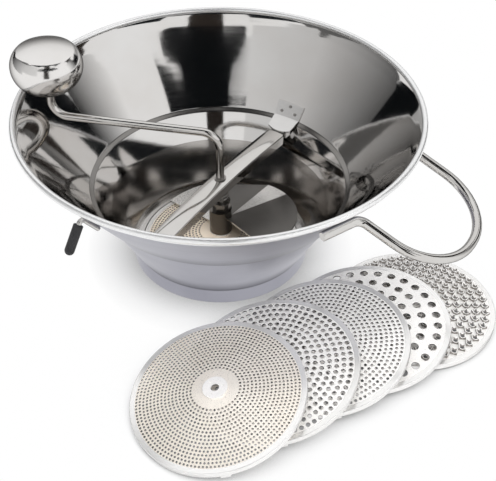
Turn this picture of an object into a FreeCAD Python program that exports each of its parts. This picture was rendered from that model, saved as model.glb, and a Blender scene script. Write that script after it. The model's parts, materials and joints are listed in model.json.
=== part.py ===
import FreeCAD, Part
import math
import os

# Hand-cranked food mill with its set of interchangeable discs, in millimetres.
# +Z is up along the crank axis, X runs to the right and Y away from the viewer.
# The origin is the centre of the base ring on the bench.

V = FreeCAD.Vector
UP = V(0, 0, 1)
ORIGIN = V(0, 0, 0)

# Fits
run_fit = 0.06          # radial, shaft in its bush
seat_gap = 0.15         # welded or resting pieces, from their seat
press_gap = 0.03        # radial, pieces pressed or threaded together
slide_gap = 0.35        # faces that pass each other
disc_fit = 0.4          # radial, disc in its seat

# Bowl, a spun sheet with a rolled rim, an upper cone, a shoulder and a steeper lower wall
sheet = 1.0
rim_outer_radius = 155.0
rim_bead_radius = 2.4
bowl_height = 133.0
shoulder_radius = 101.5
shoulder_height = 66.5
shoulder_width = 3.5
shoulder_drop = 2.0
shoulder_round = 1.4
base_inner_radius = 68.8
base_height = 12.0
base_round = 3.0
hem_width = 2.2
hem_height = 3.0

# Seat ring, a pressed ring inside the base that carries the disc
seat_sheet = 1.0
outlet_radius = 59.5
seat_height = 4.0
lug_notch_gap = 0.5

# Discs, all alike but for their holes
disc_sheet = 0.8
disc_radius = 62.5
disc_skirt = 4.0
disc_rim_width = 4.0
disc_rise = 7.0
disc_edge_round = 1.2
hub_flat_radius = 14.0
hub_hole_radius = 3.0
hub_washer_radius = 8.8
hub_washer_thickness = 1.2
hub_dimple_radius = 0.9
hub_dimple_circle = 5.9
hub_dimple_depth = 0.4
lug_count = 3
lug_width = 7.0
lug_height = 2.0

# Hole patterns: size across, spacing of the rings and spacing along a ring
fine_hole = 2.0
fine_pitch = 8.2
medium_hole = 3.4
medium_pitch = 8.8
small_hole = 2.6
small_pitch = 8.4
coarse_hole_radius = 3.1
coarse_pitch = 10.5
tooth_base = 5.0
tooth_tip = 3.4
tooth_hole = 2.6
tooth_height = 2.4
tooth_pitch = 10.4
hole_margin = 2.5

# Fan of loose discs on the bench, from the front one to the back one
fan_azimuth = 35.0
fan_steps = [46.0, 46.0, 39.0, 46.0]
fan_front_centre = V(3.0, -181.0, 0)
fan_rest_gap = 0.3

# Crossbar, an arched and crowned channel whose tongues catch under two ledges of the bowl
bar_azimuth = 57.7
bar_sheet = 1.5
bar_width = 16.0
bar_crown = 1.6          # rise across the width
bar_arch = 3.5           # rise along the length
bar_flange = 8.0         # below the edge of the crown
bar_half_length = 82.5
bar_edge_round = 1.0
bar_top = 67.2
tongue_width = 12.0
tongue_reach = 93.0
tongue_overlap = 4.0

# Brackets
bracket_sheet = 1.2
bracket_span = 13.0      # degrees
bracket_fold = 67.6
bracket_top = 77.0
ledge_inner_radius = 85.2
ledge_bow_radius = 21.0  # of the ledge's bowed edge, seen from above
stop_drop = 5.0
stop_span = 0.8          # degrees
stop_inset = 1.8
stop_reach = 6.0
rivet_radius = 1.2
rivet_head = 0.6

# Crank
rod_radius = 3.2
arm_azimuth = 169.5
arm_height = 109.0
arm_reach = 132.0
crank_bend = 14.0
pilot_radius = hub_hole_radius - run_fit
pilot_length = 5.0
sleeve_radius = 9.0
sleeve_height = 21.0
nut_across_flats = 11.0
nut_height = 7.0
bush_radius = 4.2
bush_top_radius = 4.7
bush_top_height = 0.9
bush_collar_height = 1.5

# Press spring between the crossbar and the nut
spring_wire_radius = 0.8
spring_radius = 5.7
spring_turns = 5
washer_radius = 8.0
washer_thickness = 1.2

# Blade, a folded press plate that sweeps the disc and rises from its trailing edge to its leading edge
blade_sheet = 1.4
blade_radius = 61.5
blade_trail_azimuth = 135.0
blade_trail_gap = 1.2
blade_span = 192.0                       # degrees
blade_lift_outer = 31.7
blade_lift_inner = 15.0
blade_folds = [32.0, 84.0, 105.0]        # degrees from the trailing edge
blade_fold_lifts = [1.5, 4.0, 8.5]       # of the inner edge
blade_straight_panel = 1                 # the panel whose outer edge is cut straight
blade_stations = 7

# Knob
knob_radius = 27.5
knob_over_rim = 0.6
knob_bottom_radius = 11.0
knob_waist_height = 19.9
knob_shoulder_radius = 22.0
knob_shoulder_height = 32.4
knob_height = 36.4
knob_bore_radius = 8.0
knob_bush_length = 18.0
pin_above_bush = 4.0
retainer_radius = 6.5
retainer_thickness = 1.4
knob_washer_radius = 6.5
knob_washer_thickness = 1.2

# Loop handle, one bent rod with its feet along the bowl
handle_rod_radius = 3.5
handle_azimuth = -29.5
handle_root_height = 114.5
handle_half_width = 45.8
handle_reach = 205.5
handle_slope = 22.0      # degrees below level
handle_end_straight = 3.0
handle_root_bend = 9.0
handle_foot_angle = 12.8  # degrees of rim that a foot covers

# Pot hooks, bent wires with soft sleeves
hook_wire_radius = 1.8
hook_from_handle = 98.0  # degrees
hook_top = 121.0
hook_foot_bottom = 102.0
hook_reach = 161.6
hook_tip = 101.5
hook_bend = 3.2
hook_sleeve_radius = 3.5
hook_sleeve_gap = 0.6    # from the end of the wire's bend


def polar(radius, azimuth, height):
    angle = math.radians(azimuth)
    return V(radius * math.cos(angle), radius * math.sin(angle), height)


def rounded_edges(points, radii):
    """Straight runs through the points, joined by tangent arcs of the given radii."""
    edges = []
    start = points[0]
    for before, corner, after, radius in zip(points, points[1:], points[2:], radii):
        if radius <= 0:
            edges.append(Part.LineSegment(start, corner).toShape())
            start = corner
            continue
        back = (before - corner).normalize()
        ahead = (after - corner).normalize()
        half_angle = back.getAngle(ahead) / 2
        setback = radius / math.tan(half_angle)
        bisector = (back + ahead).normalize()
        middle = corner + bisector * (radius / math.sin(half_angle) - radius)
        first = corner + back * setback
        last = corner + ahead * setback
        edges.append(Part.LineSegment(start, first).toShape())
        edges.append(Part.Arc(first, middle, last).toShape())
        start = last
    edges.append(Part.LineSegment(start, points[-1]).toShape())
    return edges


def bent_rod(points, radii, rod):
    """A round rod along a bent path."""
    path = Part.Wire(rounded_edges(points, radii))
    section = Part.Wire(Part.makeCircle(rod, points[0], points[1] - points[0]))
    return path.makePipeShell([section], True, False)


def offset_line(points, distance):
    """The open line of (r, z) points moved to its right by a distance, with mitred corners."""
    normals = []
    for (r0, z0), (r1, z1) in zip(points, points[1:]):
        length = math.hypot(r1 - r0, z1 - z0)
        normals.append(((z1 - z0) / length, -(r1 - r0) / length))
    moved = []
    for index, (r, z) in enumerate(points):
        before = normals[max(index - 1, 0)]
        after = normals[min(index, len(normals) - 1)]
        share = 1 + before[0] * after[0] + before[1] * after[1]
        moved.append((r + distance * (before[0] + after[0]) / share,
                      z + distance * (before[1] + after[1]) / share))
    return moved


def section_points(points):
    return [V(r, 0, z) for r, z in points]


def spun_sheet(points, radii, thickness):
    """A sheet of revolution: the line of (r, z) points and its offset, closed and spun about Z."""
    near = rounded_edges(section_points(points), radii)
    far_points = section_points(offset_line(points, thickness))
    far = rounded_edges(far_points, far_radii(points, radii, thickness))
    ends = [Part.LineSegment(V(points[0][0], 0, points[0][1]), far_points[0]).toShape(),
            Part.LineSegment(V(points[-1][0], 0, points[-1][1]), far_points[-1]).toShape()]
    outline = Part.Wire(Part.__sortEdges__(near + far + ends))
    return Part.Face(outline).revolve(ORIGIN, UP, 360)


def far_radii(points, radii, thickness):
    """Corner radii of the offset line, larger on the outside of a bend and smaller inside."""
    result = []
    for before, corner, after, radius in zip(points, points[1:], points[2:], radii):
        turn = ((corner[0] - before[0]) * (after[1] - corner[1])
                - (corner[1] - before[1]) * (after[0] - corner[0]))
        grown = radius + thickness if turn > 0 else radius - thickness
        result.append(max(grown, 0.0) if radius > 0 else 0.0)
    return result


def spun(points, angle=360):
    outline = Part.makePolygon(section_points(points) + [V(points[0][0], 0, points[0][1])])
    return Part.Face(outline).revolve(ORIGIN, UP, angle)


def tube(outer, inner, bottom, top):
    wall = Part.makeCylinder(outer, top - bottom, V(0, 0, bottom))
    return wall.cut(Part.makeCylinder(inner, top - bottom, V(0, 0, bottom)))


def turned(shape, azimuth):
    result = shape.copy()
    result.rotate(ORIGIN, UP, azimuth)
    return result


# Bowl
bead_centre_radius = rim_outer_radius - rim_bead_radius
bead_centre_height = bowl_height - rim_bead_radius
cone_top_radius = bead_centre_radius - sheet / 2
cone_slope = (cone_top_radius - shoulder_radius) / (bead_centre_height - shoulder_height)
cone_cosine = 1 / math.hypot(1, cone_slope)


def cone_radius(height):
    """Inside radius of the upper cone at a height."""
    return shoulder_radius + (height - shoulder_height) * cone_slope


def outside_cone(height, clear):
    """Radius at a height of a point that lies a distance clear of the cone's outer face."""
    return cone_radius(height) + (sheet + clear) / cone_cosine


def make_bowl():
    inside = [(base_inner_radius, 0),
              (base_inner_radius, base_height),
              (shoulder_radius - shoulder_width, shoulder_height - shoulder_drop),
              (shoulder_radius, shoulder_height),
              (cone_top_radius, bead_centre_height)]
    shell = spun_sheet(inside, [base_round, shoulder_round, shoulder_round + sheet], sheet)
    bead = Part.makeTorus(bead_centre_radius, rim_bead_radius, V(0, 0, bead_centre_height))
    hem = tube(base_inner_radius + sheet / 2, base_inner_radius + sheet - hem_width, 0, hem_height)
    return shell.fuse([bead, hem]).removeSplitter()


def make_seat_ring():
    recess = disc_radius + disc_fit
    top = seat_height + disc_skirt
    flange_edge = base_inner_radius - seat_gap
    line = [(outlet_radius, 0), (outlet_radius, seat_height), (recess, seat_height),
            (recess, top), (flange_edge, top)]
    ring = spun_sheet(line, [0, 0, 0], seat_sheet)
    notch_inner = disc_radius - disc_sheet - lug_notch_gap
    notch_angle = math.degrees((lug_width + 2 * lug_notch_gap) / disc_radius)
    for index in range(lug_count):
        notch = spun([(notch_inner, 0), (recess, 0), (recess, seat_height), (notch_inner, seat_height)],
                     notch_angle)
        ring = ring.cut(turned(notch, index * 360 / lug_count - notch_angle / 2))
    return ring


# Discs
disc_rim_top = lug_height + disc_skirt
disc_hub_top = disc_rim_top + disc_rise
rim_flat_radius = disc_radius - disc_rim_width


def disc_surface(radius):
    """Height of a disc's upper face above its lugs, at a radius."""
    if radius >= rim_flat_radius:
        return disc_rim_top
    if radius <= hub_washer_radius:
        return disc_hub_top + hub_washer_thickness
    if radius <= hub_flat_radius:
        return disc_hub_top
    return disc_rim_top + disc_rise * (rim_flat_radius - radius) / (rim_flat_radius - hub_flat_radius)


def disc_blank():
    line = [(hub_hole_radius, disc_hub_top), (hub_flat_radius, disc_hub_top),
            (rim_flat_radius, disc_rim_top), (disc_radius, disc_rim_top), (disc_radius, lug_height)]
    blank = spun_sheet(line, [0, 0, disc_edge_round], disc_sheet)
    lug_angle = math.degrees(lug_width / disc_radius)
    lug_line = [(disc_radius - disc_sheet, 0), (disc_radius, 0),
                (disc_radius, lug_height), (disc_radius - disc_sheet, lug_height)]
    lugs = []
    for index in range(lug_count):
        lugs.append(turned(spun(lug_line, lug_angle), index * 360 / lug_count - lug_angle / 2))
    return blank.fuse(lugs).removeSplitter()


def ring_places(pitch, size):
    """Radius and azimuth of each hole of a pattern of rings between the hub and the rim."""
    first = hub_flat_radius + hole_margin + size / 2
    last = rim_flat_radius - hole_margin - size / 2
    rings = max(int((last - first) / pitch), 1)
    for ring in range(rings + 1):
        radius = first + (last - first) * ring / rings
        count = int(2 * math.pi * radius / pitch)
        for index in range(count):
            yield radius, (index + 0.5 * (ring % 2)) * 360 / count


def square_prism(side_below, side_above, bottom, height):
    """A square block about Z whose side changes from bottom to top."""
    wires = []
    for side, level in ((side_below, bottom), (side_above, bottom + height)):
        half = side / 2
        corners = [V(-half, -half, level), V(half, -half, level), V(half, half, level),
                   V(-half, half, level), V(-half, -half, level)]
        wires.append(Part.makePolygon(corners))
    return Part.makeLoft(wires, True, True)


def placed(shape, radius, azimuth, height=0.0):
    result = shape.copy()
    result.translate(V(radius, 0, height))
    result.rotate(ORIGIN, UP, azimuth)
    return result


def pierced_disc(hole, pitch):
    """A disc with small holes. They are modelled square and wide apart; the real ones are round."""
    punch = square_prism(hole, hole, 0, disc_hub_top + disc_rim_top)
    return disc_blank().cut([placed(punch, *place) for place in ring_places(pitch, hole)])


def coarse_disc():
    punch = Part.makeCylinder(coarse_hole_radius, disc_hub_top + disc_rim_top)
    places = ring_places(coarse_pitch, 2 * coarse_hole_radius)
    return disc_blank().cut([placed(punch, *place) for place in places])


def grater_disc():
    """A disc with square holes whose edges are drawn up into teeth."""
    root = disc_sheet / 2
    teeth = []
    punches = []
    for radius, azimuth in ring_places(tooth_pitch, tooth_base):
        level = disc_surface(radius)
        tooth = square_prism(tooth_base, tooth_tip, -root, tooth_height + root)
        teeth.append(placed(tooth, radius, azimuth, level))
        punch = square_prism(tooth_hole, tooth_hole, -tooth_height, 3 * tooth_height)
        punches.append(placed(punch, radius, azimuth, level))
    return disc_blank().fuse(teeth).cut(punches)


def hub_washer():
    ring = tube(hub_washer_radius, hub_hole_radius, disc_hub_top, disc_hub_top + hub_washer_thickness)
    top = disc_hub_top + hub_washer_thickness - hub_dimple_depth
    dimple = Part.makeCylinder(hub_dimple_radius, hub_dimple_depth, V(hub_dimple_circle, 0, top))
    return ring.cut([turned(dimple, 90 + index * 120) for index in range(3)])


def lean_angles():
    """Tilt of each loose disc, from the front one to the flat back one.

    Each disc has its low edge on the bench and a lug of its high edge on the next disc.
    The back one is the grater, where the lug stands on the teeth.
    """
    tilts = [0.0]
    for step in reversed(fan_steps):
        below = tilts[0]
        surface = disc_surface(abs(disc_radius - step))
        if below == 0.0:
            surface += tooth_height
        rest = (2 * disc_radius - step) * math.sin(below) + surface * math.cos(below) + fan_rest_gap
        tilts.insert(0, math.asin(rest / (2 * disc_radius)))
    return tilts


def fan_placements():
    """Placement of each loose disc, whose lugs point along the fan."""
    placements = []
    along = polar(1, fan_azimuth, 0)
    across = UP.cross(along)
    centre = fan_front_centre
    for index, tilt in enumerate(lean_angles()):
        turn = FreeCAD.Rotation(UP, fan_azimuth)
        lean = FreeCAD.Rotation(across, -math.degrees(tilt))
        low_edge = lug_height if tilt > 0 else 0.0
        height = disc_radius * math.sin(tilt) - low_edge * math.cos(tilt)
        placements.append(FreeCAD.Placement(centre + UP * height, lean * turn))
        if index < len(fan_steps):
            centre = centre + along * fan_steps[index]
    return placements


def moved(shape, placement):
    result = shape.copy()
    result.Placement = placement.multiply(result.Placement)
    return result


# Crossbar and its brackets
bar_underside = bar_top - bar_sheet
bar_bottom = bar_top - bar_crown - bar_flange
bar_arch_radius = (bar_half_length ** 2 + bar_arch ** 2) / (2 * bar_arch)
bar_arch_centre = V(0, 0, bar_top - bar_arch_radius)
bar_crown_radius = ((bar_width / 2) ** 2 + bar_crown ** 2) / (2 * bar_crown)


def arc_drop(radius, offset):
    """How far an arc has fallen at an offset from its highest point."""
    return radius - math.sqrt(radius ** 2 - offset ** 2)


bush_collar_radius = bar_width / 2 - bar_sheet - slide_gap
bush_collar_top = bar_underside - arc_drop(bar_crown_radius - bar_sheet, bush_collar_radius)
bush_collar_bottom = bush_collar_top - bush_collar_height
ledge_top = bar_top - arc_drop(bar_arch_radius, ledge_inner_radius)
ledge_bottom = ledge_top - bracket_sheet
tongue_top = bar_top - bracket_sheet - slide_gap
stop_radius = ledge_inner_radius + stop_inset
stop_offset = math.degrees(math.asin((tongue_width / 2 + slide_gap) / stop_radius))


def arched(section, start, end):
    """A section of the bar, drawn at the bar's middle, swept along the arch between two distances from it."""
    first = math.degrees(math.asin(start / bar_arch_radius))
    last = math.degrees(math.asin(end / bar_arch_radius))
    section.rotate(bar_arch_centre, V(0, 1, 0), first)
    return section.revolve(bar_arch_centre, V(0, 1, 0), last - first)


def crowned_section(half_width, top, crown_radius, bottom):
    """A face across the bar with a crowned top, upright sides and a flat bottom."""
    edge = top - arc_drop(crown_radius, half_width)
    left = V(0, -half_width, edge)
    right = V(0, half_width, edge)
    crown = Part.Arc(left, V(0, 0, top), right).toShape()
    sides = Part.makePolygon([right, V(0, half_width, bottom), V(0, -half_width, bottom), left])
    return Part.Face(Part.Wire([crown] + sides.Edges))


def make_crossbar():
    outside = crowned_section(bar_width / 2, bar_top, bar_crown_radius, bar_bottom)
    block = arched(outside, -bar_half_length, bar_half_length)
    edges = [edge for edge in block.Edges
             if edge.Length > bar_half_length and edge.BoundBox.ZMax > bar_top - bar_crown - bar_edge_round]
    block = block.makeFillet(bar_edge_round, edges)
    inside = crowned_section(bar_width / 2 - bar_sheet, bar_underside, bar_crown_radius - bar_sheet, bar_bottom)
    hollow = arched(inside, -bar_half_length, bar_half_length)
    tongues = []
    for side in (0, 180):
        half = tongue_width / 2
        corners = [V(0, -half, tongue_top), V(0, half, tongue_top), V(0, half, tongue_top - bar_sheet),
                   V(0, -half, tongue_top - bar_sheet), V(0, -half, tongue_top)]
        tongue = arched(Part.Face(Part.makePolygon(corners)), bar_half_length - tongue_overlap, tongue_reach)
        tongues.append(turned(tongue, side))
    bar = block.cut(hollow).fuse(tongues).removeSplitter()
    hole = Part.makeCylinder(bush_radius + press_gap, bar_flange, V(0, 0, bar_top - bar_flange))
    return turned(bar.cut(hole), bar_azimuth)


def make_bush():
    collar_bottom = bush_collar_bottom
    body = Part.makeCylinder(bush_radius, bar_top + bush_top_height - collar_bottom, V(0, 0, collar_bottom))
    flange = Part.makeCylinder(bush_top_radius, bush_top_height, V(0, 0, bar_top))
    collar = Part.makeCylinder(bush_collar_radius, bush_collar_height, V(0, 0, collar_bottom))
    bore = Part.makeCylinder(rod_radius + run_fit, bar_top, V(0, 0, collar_bottom))
    return body.fuse([flange, collar]).cut(bore).removeSplitter()


def plate_back(height):
    return cone_radius(height) - seat_gap / cone_cosine


def plate_front(height):
    return plate_back(height) - bracket_sheet / cone_cosine


def ledge_level(radius):
    """Height of the ledge's upper face, which slopes down from the fold to its inner edge."""
    slope = (bracket_fold - ledge_top) / (plate_front(bracket_fold) - ledge_inner_radius)
    return ledge_top + (radius - ledge_inner_radius) * slope


def make_bracket(azimuth):
    """A plate on the cone, a sloping ledge with a bowed edge over the bar's tongue, and a stop beside it."""
    back = ledge_level(plate_back(bracket_fold)) - bracket_sheet
    outline = [(ledge_inner_radius, ledge_bottom), (plate_back(back), back),
               (plate_back(bracket_top), bracket_top), (plate_front(bracket_top), bracket_top),
               (plate_front(bracket_fold), bracket_fold), (ledge_inner_radius, ledge_top)]
    sheet = turned(spun(outline, bracket_span), -bracket_span / 2)
    bow_centre = V(ledge_inner_radius + ledge_bow_radius, 0, ledge_bottom)
    sheet = sheet.common(Part.makeCylinder(ledge_bow_radius, bracket_top - ledge_bottom, bow_centre))
    stop_outer = stop_radius + stop_reach
    middle = bracket_sheet / 2
    stop_outline = [(stop_radius, ledge_bottom - stop_drop), (stop_outer, ledge_bottom - stop_drop),
                    (stop_outer, ledge_level(stop_outer) - middle), (stop_radius, ledge_level(stop_radius) - middle)]
    stop = turned(spun(stop_outline, stop_span), -stop_offset - stop_span)
    return turned(sheet.fuse(stop).removeSplitter(), azimuth)


def make_rivets(azimuth):
    heads = []
    for share, offset in ((0.76, 0.0), (0.34, 0.27), (0.34, -0.27)):
        height = bracket_fold + share * (bracket_top - bracket_fold)
        base = polar(plate_front(height) - press_gap, azimuth + offset * bracket_span, height)
        inward = polar(-cone_cosine, azimuth + offset * bracket_span, cone_slope * cone_cosine)
        heads.append(Part.makeCylinder(rivet_radius, rivet_head, base, inward))
    return Part.makeCompound(heads)


# Crank, spring and blade
seated_disc_base = seat_height - lug_height
seated_hub_top = seated_disc_base + disc_hub_top + hub_washer_thickness
seated_rim_top = seated_disc_base + disc_rim_top
sleeve_bottom = seated_hub_top + slide_gap
nut_bottom = sleeve_bottom + sleeve_height
nut_top = nut_bottom + nut_height
washer_bottom = nut_top + seat_gap
spring_bottom = washer_bottom + washer_thickness + seat_gap
spring_top = bush_collar_bottom - seat_gap
knob_bottom = bowl_height + knob_over_rim
knob_bush_top = knob_bottom + knob_bush_length
knob_pin_top = knob_bush_top + pin_above_bush
knob_place = polar(arm_reach, arm_azimuth, 0)


def make_crank_rod():
    path = [V(0, 0, sleeve_bottom), V(0, 0, arm_height), knob_place + UP * arm_height,
            knob_place + UP * knob_pin_top]
    rod = bent_rod(path, [crank_bend, crank_bend], rod_radius)
    pilot = Part.makeCylinder(pilot_radius, pilot_length, V(0, 0, sleeve_bottom - pilot_length))
    return rod.fuse(pilot).removeSplitter()


def make_nut():
    corner_radius = nut_across_flats / math.sqrt(3)
    corners = [polar(corner_radius, 60 * index, nut_bottom) for index in range(7)]
    hexagon = Part.Face(Part.makePolygon(corners)).extrude(UP * nut_height)
    return hexagon.cut(Part.makeCylinder(rod_radius + press_gap, nut_height, V(0, 0, nut_bottom)))


def biarc(start, start_way, end, end_way):
    """Two tangent arcs from one point and direction to another."""
    chord = end - start
    ways = start_way + end_way
    a = ways.dot(ways) - 4
    b = -2 * chord.dot(ways)
    c = chord.dot(chord)
    reach = (-b - math.sqrt(b * b - 4 * a * c)) / (2 * a)
    first_corner = start + start_way * reach
    last_corner = end - end_way * reach
    joint = (first_corner + last_corner) * 0.5
    return [corner_arc(start, first_corner, joint), corner_arc(joint, last_corner, end)]


def corner_arc(start, corner, end):
    """The arc that is tangent to both equal sides of a corner."""
    middle = (start + end) * 0.5
    rise = (corner - middle).Length
    half_chord = (end - start).Length / 2
    sagitta = half_chord * math.tan(math.atan2(rise, half_chord) / 2)
    return Part.Arc(start, middle + (corner - middle).normalize() * sagitta, end).toShape()


def make_spring():
    """A round-wire compression spring, wound on quarter-turn biarcs."""
    bottom = spring_bottom + spring_wire_radius
    height = spring_top - spring_wire_radius - bottom
    quarters = 4 * spring_turns
    points = []
    ways = []
    for index in range(quarters + 1):
        angle = math.pi / 2 * index
        points.append(V(spring_radius * math.cos(angle), spring_radius * math.sin(angle),
                        bottom + height * index / quarters))
        rise = height / (quarters * math.pi / 2)
        ways.append(V(-spring_radius * math.sin(angle), spring_radius * math.cos(angle), rise).normalize())
    edges = []
    for index in range(quarters):
        edges += biarc(points[index], ways[index], points[index + 1], ways[index + 1])
    section = Part.Wire(Part.makeCircle(spring_wire_radius, points[0], ways[0]))
    print("spring: least gap between turns", round(height / spring_turns - 2 * spring_wire_radius, 2), "mm")
    return Part.Wire(edges).makePipeShell([section], True, False)


def rising_edge(radius, first, last, straight=False):
    """An edge of a blade panel round the axis, between two pairs of degrees from the trailing edge and height."""
    if straight:
        ends = [polar(radius, blade_trail_azimuth - turn, height) for turn, height in (first, last)]
        return Part.makeLine(*ends)
    points = []
    for index in range(blade_stations):
        share = index / (blade_stations - 1)
        turn = first[0] + (last[0] - first[0]) * share
        height = first[1] + (last[1] - first[1]) * share
        points.append(polar(radius, blade_trail_azimuth - turn, height))
    curve = Part.BSplineCurve()
    curve.interpolate(points)
    return curve.toShape()


def make_blade():
    """Ruled panels that meet at radial folds."""
    turns = [0] + blade_folds + [blade_span]
    inner_lifts = [0] + blade_fold_lifts + [blade_lift_inner]
    inner_bottom = seated_hub_top + slide_gap
    outer_bottom = seated_rim_top + blade_trail_gap
    inner = [(turn, inner_bottom + lift) for turn, lift in zip(turns, inner_lifts)]
    outer = [(turn, outer_bottom + blade_lift_outer * turn / blade_span) for turn in turns]
    panels = []
    for index in range(len(turns) - 1):
        inner_edge = rising_edge(sleeve_radius + press_gap, inner[index], inner[index + 1])
        outer_edge = rising_edge(blade_radius, outer[index], outer[index + 1], index == blade_straight_panel)
        panels.append(Part.makeRuledSurface(inner_edge, outer_edge).extrude(UP * blade_sheet))
    return panels[0].fuse(panels[1:]).removeSplitter()


# Knob
def level_arc(radius, level, other_radius, other_level):
    """Arc from a point where the outline is upright to another point, as three points."""
    drop = other_level - level
    centre = (radius ** 2 - other_radius ** 2 - drop ** 2) / (2 * (radius - other_radius))
    size = radius - centre
    half_angle = math.atan2(drop, other_radius - centre) / 2
    middle = V(centre + size * math.cos(half_angle), 0, level + size * math.sin(half_angle))
    return V(radius, 0, level), middle, V(other_radius, 0, other_level)


def make_knob():
    """A squashed ball with a crowned top, bored from below."""
    waist = knob_bottom + knob_waist_height
    shoulder = knob_bottom + knob_shoulder_height
    top = knob_bottom + knob_height
    waist_point, lower_middle, foot = level_arc(knob_radius, waist, knob_bottom_radius, knob_bottom)
    waist_point, upper_middle, edge = level_arc(knob_radius, waist, knob_shoulder_radius, shoulder)
    crown_rise = top - shoulder
    crown_radius = (knob_shoulder_radius ** 2 + crown_rise ** 2) / (2 * crown_rise)
    half = knob_shoulder_radius / 2
    crown_middle = V(half, 0, top - crown_radius + math.sqrt(crown_radius ** 2 - half ** 2))
    peak = V(0, 0, top)
    bottom_centre = V(0, 0, knob_bottom)
    outline = [Part.LineSegment(bottom_centre, foot), Part.Arc(foot, lower_middle, waist_point),
               Part.Arc(waist_point, upper_middle, edge), Part.Arc(edge, crown_middle, peak),
               Part.LineSegment(peak, bottom_centre)]
    solid = Part.Face(Part.Wire([piece.toShape() for piece in outline])).revolve(ORIGIN, UP, 360)
    cavity_top = knob_pin_top + slide_gap
    bore = Part.makeCylinder(knob_bore_radius, cavity_top - knob_bottom, bottom_centre)
    return solid.cut(bore)


def on_knob_pin(shape):
    result = shape.copy()
    result.translate(knob_place)
    return result


# Loop handle and pot hooks
def make_handle():
    radius = outside_cone(handle_root_height, handle_rod_radius + seat_gap)
    root_angle = math.degrees(math.asin(handle_half_width / radius))
    end_angle = root_angle + handle_foot_angle
    chord_radius = radius / math.cos(math.radians(handle_foot_angle / 2))
    root = polar(chord_radius, root_angle, handle_root_height)
    end = polar(chord_radius, end_angle, handle_root_height)
    fall = (handle_reach - root.x) * math.tan(math.radians(handle_slope))
    corner = V(handle_reach, handle_half_width, handle_root_height - fall)
    half = [end, root, corner]
    other = [V(point.x, -point.y, point.z) for point in reversed(half)]
    end_bend = handle_half_width - handle_end_straight / 2
    bends = [handle_root_bend, end_bend, end_bend, handle_root_bend]
    return turned(bent_rod(half + other, bends, handle_rod_radius), handle_azimuth)


hook_clear = hook_wire_radius + seat_gap
hook_foot = V(outside_cone(hook_foot_bottom, hook_clear), 0, hook_foot_bottom)
hook_corner = V(outside_cone(hook_top, hook_clear), 0, hook_top)
hook_end = V(hook_reach, 0, hook_tip)


def make_hook_wire():
    return bent_rod([hook_foot, hook_corner, hook_end], [hook_bend], hook_wire_radius)


def make_hook_sleeve():
    way = (hook_end - hook_corner).normalize()
    half_angle = way.getAngle(hook_foot - hook_corner) / 2
    start = hook_corner + way * (hook_bend / math.tan(half_angle) + hook_sleeve_gap)
    length = (hook_end - start).Length
    body = Part.makeCylinder(hook_sleeve_radius, length, start, way)
    cap = Part.makeSphere(hook_sleeve_radius, hook_end)
    bore = Part.makeCylinder(hook_wire_radius + press_gap, length + press_gap, start, way)
    return body.fuse(cap).removeSplitter().cut(bore)


# All pieces, by node name
parts = {
    "bowl": make_bowl(),
    "seat_ring": make_seat_ring(),
    "loop_handle": make_handle(),
    "crossbar": make_crossbar(),
    "crossbar_bush": make_bush(),
    "crank_rod": make_crank_rod(),
    "blade_sleeve": tube(sleeve_radius, rod_radius + press_gap, sleeve_bottom, nut_bottom),
    "press_blade": make_blade(),
    "shaft_nut": make_nut(),
    "spring_washer": tube(washer_radius, rod_radius + run_fit, washer_bottom,
                          washer_bottom + washer_thickness),
    "press_spring": make_spring(),
    "knob": on_knob_pin(make_knob()),
    "knob_bush": on_knob_pin(tube(knob_bore_radius - press_gap, rod_radius + run_fit,
                                  knob_bottom, knob_bush_top)),
    "knob_retainer": on_knob_pin(tube(retainer_radius, rod_radius + press_gap, knob_bush_top + slide_gap,
                                      knob_bush_top + slide_gap + retainer_thickness)),
    "knob_washer": on_knob_pin(tube(knob_washer_radius, rod_radius + press_gap,
                                    knob_bottom - slide_gap - knob_washer_thickness,
                                    knob_bottom - slide_gap)),
}

for name, azimuth in (("rear", bar_azimuth), ("front", bar_azimuth + 180)):
    parts[name + "_bracket"] = make_bracket(azimuth)
    parts[name + "_bracket_rivets"] = make_rivets(azimuth)

for name, azimuth in (("left", handle_azimuth - hook_from_handle), ("rear", handle_azimuth + hook_from_handle)):
    parts[name + "_hook_wire"] = turned(make_hook_wire(), azimuth)
    parts[name + "_hook_sleeve"] = turned(make_hook_sleeve(), azimuth)

fine = pierced_disc(fine_hole, fine_pitch)
washer = hub_washer()
seated = FreeCAD.Placement(V(0, 0, seated_disc_base), FreeCAD.Rotation())
parts["fitted_disc"] = moved(fine, seated)
parts["fitted_disc_hub"] = moved(washer, seated)

loose_discs = [("fine_disc", fine),
               ("medium_disc", pierced_disc(medium_hole, medium_pitch)),
               ("small_hole_disc", pierced_disc(small_hole, small_pitch)),
               ("coarse_disc", coarse_disc()),
               ("grater_disc", grater_disc())]
for (name, disc), placement in zip(loose_discs, fan_placements()):
    parts[name] = moved(disc, placement)
    parts[name + "_hub"] = moved(washer, placement)

os.makedirs("parts", exist_ok=True)
for name, shape in parts.items():
    shape.exportStep("parts/" + name + ".step")
print(len(parts), "nodes; loose discs lean", [round(math.degrees(tilt), 1) for tilt in lean_angles()])
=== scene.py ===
import json
import math

import bpy
import numpy as np
from mathutils import Matrix, Vector
from mathutils.geometry import delaunay_2d_cdt

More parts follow.
